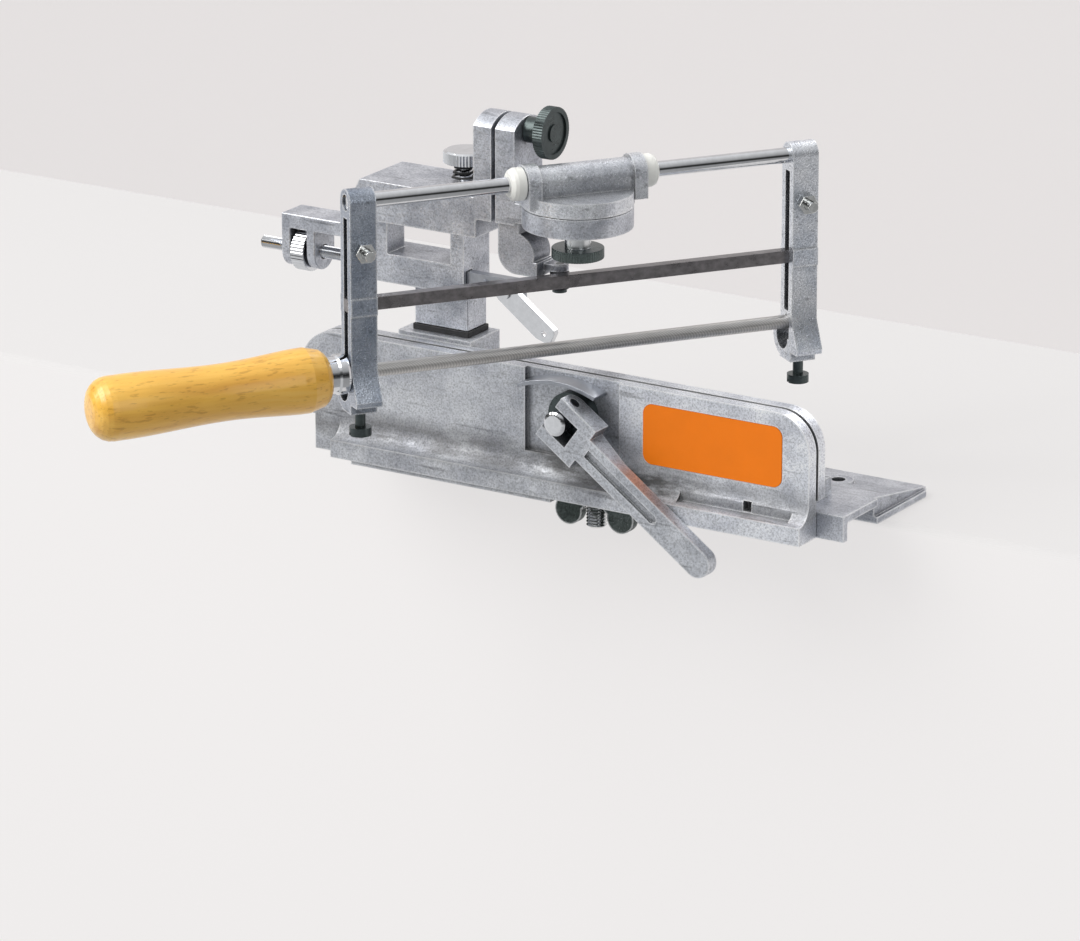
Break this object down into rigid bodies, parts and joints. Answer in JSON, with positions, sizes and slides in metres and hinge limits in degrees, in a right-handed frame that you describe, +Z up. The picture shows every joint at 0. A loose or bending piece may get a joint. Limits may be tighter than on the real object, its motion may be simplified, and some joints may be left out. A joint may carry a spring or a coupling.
{
  "type": "chainsaw file guide",
  "caption": "Bench chainsaw file guide: slotted chain rail with a cam clamp, tooth stop, and a swivelling, tilting, sliding frame that carries a round file with a wooden handle.",
  "frame": {"origin": "middle of the row of bench screw holes, on the bench top", "axes": "+X along the rail to the right of the person filing, +Y away from them over the bench, +Z up"},
  "size_m": [0.263, 0.2452, 0.1664],
  "materials": {
    "cast_metal": "rough cast zinc-grey, faintly speckled",
    "lever_metal": "brushed with a polished edge",
    "bright_steel": "bright plated",
    "strap_metal": "rolled strip, fine lengthwise grain",
    "dark_steel": "blued, dark green-grey",
    "spring_steel": "tempered, satin",
    "bar_steel": "dark mill finish",
    "file_steel": "cut file teeth, matt grey",
    "black_rubber": "matt",
    "black_plastic": "satin",
    "black_wire": "blackened wire",
    "white_nylon": "satin",
    "orange_paint": "smooth, plain, no lettering",
    "beech": "clear yellow varnish over fine grain"
  },
  "bodies": {
    "base": {"rail": "cast_metal", "bench_plate": "cast_metal", "stud": "dark_steel", "thrust_collar": "dark_steel", "leaf_spring": "spring_steel", "label_plate": "orange_paint", "seat_plate": "black_rubber", "column": "cast_metal", "yoke": "cast_metal", "stop_fork": "cast_metal"},
    "wing_nut": {"wing_nut": "dark_steel"},
    "clamp": {"plunger": "bright_steel", "clamp_jaw": "spring_steel", "cross_pin": "bright_steel"},
    "lever": {"clamp_lever": "lever_metal"},
    "stop_wheel": {"stop_wheel": "bright_steel"},
    "stop": {"stop_screw": "bright_steel", "stop_slide": "spring_steel", "pawl_pin": "bright_steel"},
    "pawl": {"pawl": "bright_steel"},
    "arm": {"arm": "cast_metal", "hinge_pin": "bright_steel", "height_spring": "black_wire"},
    "height_stem": {"height_stem": "bright_steel"},
    "height_knob": {"height_knob": "bright_steel"},
    "tilt_bracket": {"tilt_bracket": "cast_metal", "roller_pin": "dark_steel"},
    "tilt_knob": {"tilt_knob": "dark_steel"},
    "guide_roller": {"guide_roller": "black_plastic"},
    "swivel_head": {"swivel_head": "cast_metal"},
    "swivel_knob": {"swivel_knob": "dark_steel"},
    "bushes": {"bush_near": "white_nylon", "bush_far": "white_nylon"},
    "file_frame": {"guide_rod": "bright_steel", "guide_bar": "bar_steel", "strap_near": "strap_metal", "strap_far": "strap_metal", "bolt_near": "bright_steel", "bolt_far": "bright_steel", "nut_near": "dark_steel", "nut_far": "dark_steel", "round_file": "file_steel", "ferrule": "bright_steel", "handle": "beech"},
    "clamp_screw_near": {"clamp_screw_near": "dark_steel"},
    "clamp_screw_far": {"clamp_screw_far": "dark_steel"}
  },
  "joints": [
    {"name": "clamp_slide", "type": "slide", "parent": "base", "child": "clamp", "axis": [0, 1, 0], "range_m": [0, 0.001]},
    {"name": "lever_swing", "type": "hinge", "parent": "clamp", "child": "lever", "pos_m": [0.011, -0.06125, 0.0328], "axis": [-0.5878, 0, -0.809], "range_deg": [0, 80]},
    {"name": "wing_turn", "type": "hinge", "parent": "base", "child": "wing_nut", "pos_m": [0.01, -0.034, 0], "axis": [0, 0, 1], "range_deg": [0, 180]},
    {"name": "wheel_turn", "type": "hinge", "parent": "base", "child": "stop_wheel", "pos_m": [-0.1183, -0.038, 0.0749], "axis": [1, 0, 0], "range_deg": [-720, 2880]},
    {"name": "stop_slide", "type": "slide", "parent": "base", "child": "stop", "axis": [1, 0, 0], "range_m": [-0.006, 0.0015]},
    {"name": "pawl_swing", "type": "hinge", "parent": "stop", "child": "pawl", "pos_m": [-0.0255, -0.0418, 0.0725], "axis": [0, -1, 0], "range_deg": [0, 30]},
    {"name": "arm_lift", "type": "hinge", "parent": "base", "child": "arm", "pos_m": [-0.08, -0.037, 0.10435], "axis": [0, -1, 0], "range_deg": [0, 4.1]},
    {"name": "height_feed", "type": "slide", "parent": "arm", "child": "height_stem", "axis": [0, 0, -1], "range_m": [0, 0.00245], "deforming": ["height_spring"]},
    {"name": "height_turn", "type": "hinge", "parent": "height_stem", "child": "height_knob", "pos_m": [-0.0465, -0.037, 0.121], "axis": [0, 0, -1], "range_deg": [0, 1100]},
    {"name": "tilt", "type": "hinge", "parent": "arm", "child": "tilt_bracket", "pos_m": [0, -0.046, 0.139], "axis": [1, 0, 0], "range_deg": [-10, 4]},
    {"name": "tilt_knob_turn", "type": "hinge", "parent": "arm", "child": "tilt_knob", "pos_m": [-0.01, -0.046, 0.139], "axis": [1, 0, 0], "range_deg": [0, 270]},
    {"name": "swivel", "type": "hinge", "parent": "tilt_bracket", "child": "swivel_head", "pos_m": [0.0087, -0.046, 0.113], "axis": [0, 0, 1], "range_deg": [-2, 72]},
    {"name": "swivel_knob_turn", "type": "hinge", "parent": "tilt_bracket", "child": "swivel_knob", "pos_m": [0.0087, -0.046, 0.098], "axis": [0, 0, 1], "range_deg": [0, 270]},
    {"name": "roller_spin", "type": "hinge", "parent": "tilt_bracket", "child": "guide_roller", "pos_m": [0.0007, -0.046, 0.0826], "axis": [0, 0, 1], "continuous": true},
    {"name": "frame_roll", "type": "hinge", "parent": "swivel_head", "child": "bushes", "pos_m": [0.0087, -0.046, 0.1234], "axis": [-0.5878, -0.809, 0], "range_deg": [0, 100]},
    {"name": "file_stroke", "type": "slide", "parent": "bushes", "child": "file_frame", "axis": [0.5878, 0.809, 0], "range_m": [-0.045, 0.05]},
    {"name": "clamp_turn_near", "type": "hinge", "parent": "file_frame", "child": "clamp_screw_near", "pos_m": [-0.04279, -0.11687, 0.045], "axis": [0, 0, 1], "range_deg": [0, 180]},
    {"name": "clamp_turn_far", "type": "hinge", "parent": "file_frame", "child": "clamp_screw_far", "pos_m": [0.06231, 0.02778, 0.045], "axis": [0, 0, 1], "range_deg": [0, 180]}
  ],
  "couplings": [
    {"joint": "clamp_slide", "follows": "lever_swing", "m_per_rad": 0.0007161},
    {"joint": "wheel_turn", "follows": "stop_slide", "rad_per_m": -7854},
    {"joint": "height_feed", "follows": "arm_lift", "m_per_rad": 0.0335},
    {"joint": "height_turn", "follows": "arm_lift", "ratio": 263.11}
  ]
}
